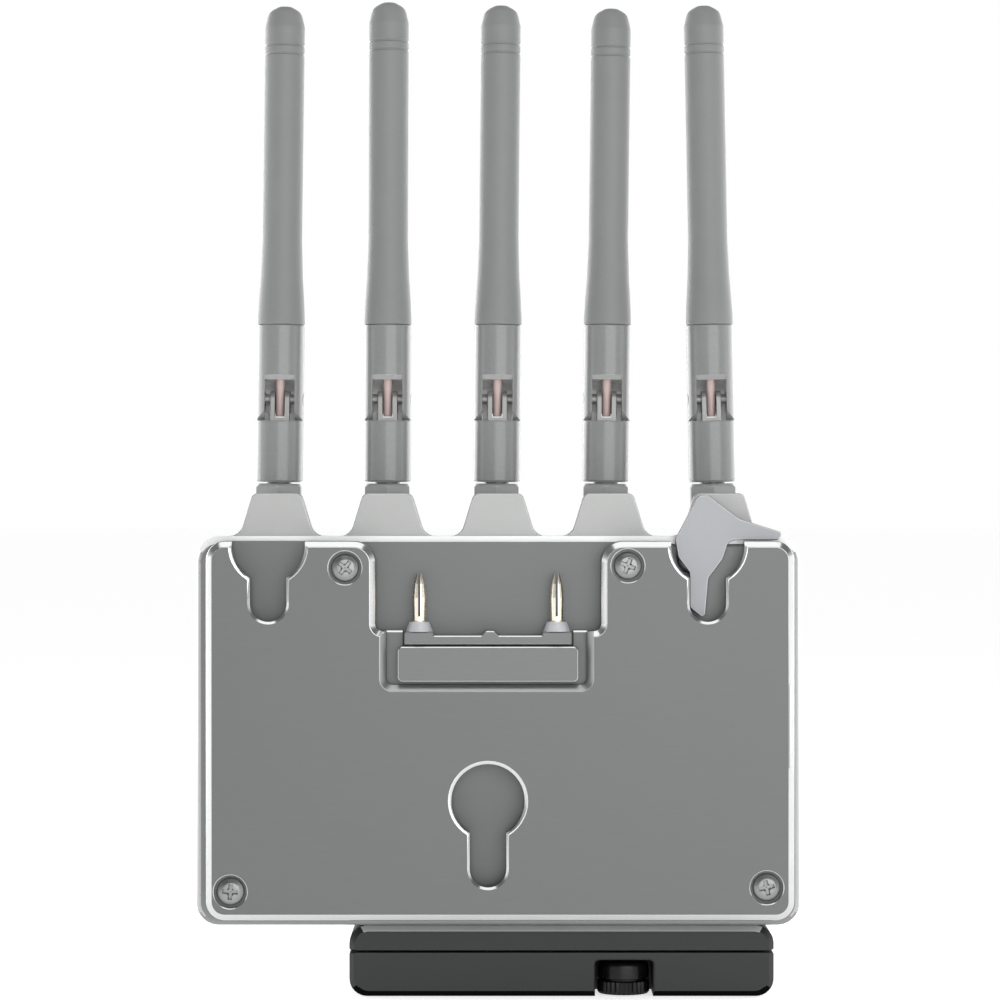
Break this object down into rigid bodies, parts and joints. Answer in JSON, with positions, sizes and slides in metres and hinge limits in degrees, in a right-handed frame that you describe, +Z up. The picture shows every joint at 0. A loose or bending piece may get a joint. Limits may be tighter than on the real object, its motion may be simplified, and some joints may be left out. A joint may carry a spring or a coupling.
{
  "type": "wireless video receiver",
  "caption": "Slim wireless video receiver with a row of folding antennas, a keyhole battery plate with contact pins and release lever, and an offset clamp foot.",
  "frame": {"origin": "centre of the bounding box's underside, under the foot", "axes": "+Z up along the antennas, -Y out of the battery plate, +X to the right when looking at the battery plate"},
  "size_m": [0.116, 0.036, 0.1928],
  "materials": {
    "housing_paint": "fine satin powder coat",
    "plate_satin": "satin, faintly brushed",
    "guard_alloy": "bead-blasted satin",
    "lever_alloy": "satin stamped sheet",
    "antenna_rubber": "matte moulded",
    "antenna_gloss": "polished moulded",
    "steel": "bright plated",
    "gold_contact": "gold plated",
    "foot_black": "black anodised, satin",
    "knob_black": "gloss",
    "control_black": "fine texture",
    "board_green": "solder mask",
    "screen_glass": "polished",
    "coax_jacket": "soft jacket"
  },
  "bodies": {
    "root": {"housing": "housing_paint", "front_cover": "housing_paint", "display_window": "screen_glass", "main_board": "board_green", "radio_shield": "steel", "battery_plate": "plate_satin", "terminal_block": "plate_satin", "terminal_cover": "plate_satin", "power_pin_left": "gold_contact", "power_pin_right": "gold_contact", "plate_screw_1": "steel", "plate_screw_2": "steel", "plate_screw_3": "steel", "plate_screw_4": "steel", "lever_pivot": "steel", "lever_spring": "steel", "antenna_guard": "guard_alloy", "antenna_1_jack": "gold_contact", "antenna_2_jack": "gold_contact", "antenna_3_jack": "gold_contact", "antenna_4_jack": "gold_contact", "antenna_5_jack": "gold_contact", "sdi_connector_1": "steel", "sdi_connector_2": "steel", "hdmi_socket": "steel", "power_socket": "steel", "mount_top_plate": "foot_black", "mount_base": "foot_black", "mount_screw_1": "steel", "mount_screw_2": "steel"},
    "antenna_1_nut": {"antenna_1_nut": "antenna_gloss"},
    "antenna_1_base": {"antenna_1_base": "antenna_gloss", "antenna_1_coax": "coax_jacket"},
    "antenna_1_whip": {"antenna_1_knuckle": "antenna_gloss", "antenna_1_sheath": "antenna_rubber"},
    "antenna_2_nut": {"antenna_2_nut": "antenna_gloss"},
    "antenna_2_base": {"antenna_2_base": "antenna_gloss", "antenna_2_coax": "coax_jacket"},
    "antenna_2_whip": {"antenna_2_knuckle": "antenna_gloss", "antenna_2_sheath": "antenna_rubber"},
    "antenna_3_nut": {"antenna_3_nut": "antenna_gloss"},
    "antenna_3_base": {"antenna_3_base": "antenna_gloss", "antenna_3_coax": "coax_jacket"},
    "antenna_3_whip": {"antenna_3_knuckle": "antenna_gloss", "antenna_3_sheath": "antenna_rubber"},
    "antenna_4_nut": {"antenna_4_nut": "antenna_gloss"},
    "antenna_4_base": {"antenna_4_base": "antenna_gloss", "antenna_4_coax": "coax_jacket"},
    "antenna_4_whip": {"antenna_4_knuckle": "antenna_gloss", "antenna_4_sheath": "antenna_rubber"},
    "antenna_5_nut": {"antenna_5_nut": "antenna_gloss"},
    "antenna_5_base": {"antenna_5_base": "antenna_gloss", "antenna_5_coax": "coax_jacket"},
    "antenna_5_whip": {"antenna_5_knuckle": "antenna_gloss", "antenna_5_sheath": "antenna_rubber"},
    "release_lever": {"release_lever": "lever_alloy"},
    "menu_button": {"menu_button": "control_black"},
    "power_switch": {"power_switch": "control_black"},
    "thumb_screw": {"thumb_screw": "knob_black"}
  },
  "joints": [
    {"name": "antenna_1_nut_turn", "type": "hinge", "parent": "root", "child": "antenna_1_nut", "pos_m": [-0.0429, 0.0022, 0.0879], "axis": [0.0131, 0, 0.9999], "continuous": true},
    {"name": "antenna_1_swivel", "type": "hinge", "parent": "root", "child": "antenna_1_base", "pos_m": [-0.0429, 0.0022, 0.0879], "axis": [0.0131, 0, 0.9999], "range_deg": [-60, 60]},
    {"name": "antenna_1_fold", "type": "hinge", "parent": "antenna_1_base", "child": "antenna_1_whip", "pos_m": [-0.04254, 0.0022, 0.1154], "axis": [0.9999, 0, -0.0131], "range_deg": [0, 90]},
    {"name": "antenna_2_nut_turn", "type": "hinge", "parent": "root", "child": "antenna_2_nut", "pos_m": [-0.02165, 0.0022, 0.0879], "axis": [0.0035, 0, 1], "continuous": true},
    {"name": "antenna_2_swivel", "type": "hinge", "parent": "root", "child": "antenna_2_base", "pos_m": [-0.02165, 0.0022, 0.0879], "axis": [0.0035, 0, 1], "range_deg": [-60, 60]},
    {"name": "antenna_2_fold", "type": "hinge", "parent": "antenna_2_base", "child": "antenna_2_whip", "pos_m": [-0.02155, 0.0022, 0.1154], "axis": [1, 0, -0.0035], "range_deg": [0, 90]},
    {"name": "antenna_3_nut_turn", "type": "hinge", "parent": "root", "child": "antenna_3_nut", "pos_m": [-0.0004, 0.0022, 0.0879], "axis": [0.0096, 0, 1], "continuous": true},
    {"name": "antenna_3_swivel", "type": "hinge", "parent": "root", "child": "antenna_3_base", "pos_m": [-0.0004, 0.0022, 0.0879], "axis": [0.0096, 0, 1], "range_deg": [-60, 60]},
    {"name": "antenna_3_fold", "type": "hinge", "parent": "antenna_3_base", "child": "antenna_3_whip", "pos_m": [-0.00014, 0.0022, 0.1154], "axis": [1, 0, -0.0096], "range_deg": [0, 90]},
    {"name": "antenna_4_nut_turn", "type": "hinge", "parent": "root", "child": "antenna_4_nut", "pos_m": [0.02085, 0.0022, 0.0879], "axis": [0.0122, 0, 0.9999], "continuous": true},
    {"name": "antenna_4_swivel", "type": "hinge", "parent": "root", "child": "antenna_4_base", "pos_m": [0.02085, 0.0022, 0.0879], "axis": [0.0122, 0, 0.9999], "range_deg": [-60, 60]},
    {"name": "antenna_4_fold", "type": "hinge", "parent": "antenna_4_base", "child": "antenna_4_whip", "pos_m": [0.02119, 0.0022, 0.1154], "axis": [0.9999, 0, -0.0122], "range_deg": [0, 90]},
    {"name": "antenna_5_nut_turn", "type": "hinge", "parent": "root", "child": "antenna_5_nut", "pos_m": [0.0421, 0.0022, 0.0879], "axis": [-0.0192, 0, 0.9998], "continuous": true},
    {"name": "antenna_5_swivel", "type": "hinge", "parent": "root", "child": "antenna_5_base", "pos_m": [0.0421, 0.0022, 0.0879], "axis": [-0.0192, 0, 0.9998], "range_deg": [-60, 60]},
    {"name": "antenna_5_fold", "type": "hinge", "parent": "antenna_5_base", "child": "antenna_5_whip", "pos_m": [0.04157, 0.0022, 0.11539], "axis": [0.9998, 0, 0.0192], "range_deg": [0, 90]},
    {"name": "release_lever_press", "type": "hinge", "parent": "root", "child": "release_lever", "pos_m": [0.0379, -0.014, 0.085], "axis": [0, 1, 0], "range_deg": [0, 16], "stiffness_Nm_per_rad": 0.15, "springref_deg": -14.32},
    {"name": "menu_button_press", "type": "slide", "parent": "root", "child": "menu_button", "axis": [0, -1, 0], "range_m": [0, 0.0008], "stiffness_N_per_m": 400, "springref_m": -0.001},
    {"name": "power_switch_slide", "type": "slide", "parent": "root", "child": "power_switch", "axis": [0, 0, 1], "range_m": [0, 0.003]},
    {"name": "thumb_screw_turn", "type": "hinge", "parent": "root", "child": "thumb_screw", "pos_m": [0.0243, -0.0024, 0], "axis": [0, 0, 1], "continuous": true}
  ]
}
